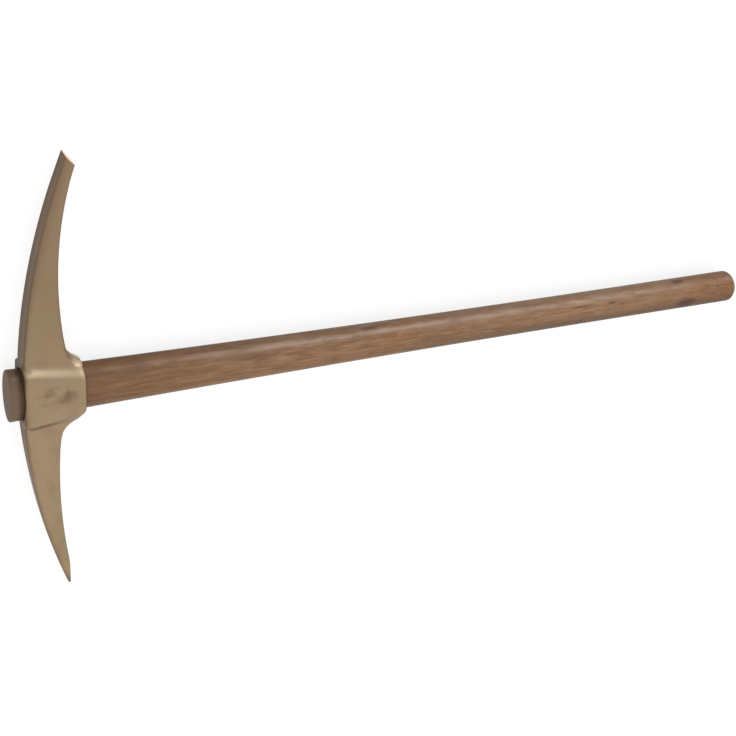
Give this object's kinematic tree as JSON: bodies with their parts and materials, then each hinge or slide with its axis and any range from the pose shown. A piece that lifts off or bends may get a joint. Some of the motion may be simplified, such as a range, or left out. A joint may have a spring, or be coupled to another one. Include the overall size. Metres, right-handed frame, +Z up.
{
  "type": "pick axe",
  "caption": "Pick axe with a curved cast bronze head, point at one end and chisel at the other, slipped over a tapered oval seat on a long round hardwood handle, for breaking hard ground.",
  "frame": {"origin": "on the flat lower cheek of the head, under the middle of the eye, with the tool lying flat", "axes": "+X along the handle from the head to the grip, +Y to the chisel end of the head, +Z up through the thickness of the head"},
  "size_m": [0.9, 0.522, 0.046],
  "materials": {
    "bronze": null,
    "timber": "turned brown hardwood with a thin coat of oil"
  },
  "bodies": {
    "handle": {"handle": "timber"},
    "head": {"pick_head": "bronze"}
  },
  "joints": [
    {"name": "head_slide", "type": "slide", "parent": "handle", "child": "head", "axis": [1, 0, 0], "range_m": [0, 0.8]}
  ]
}
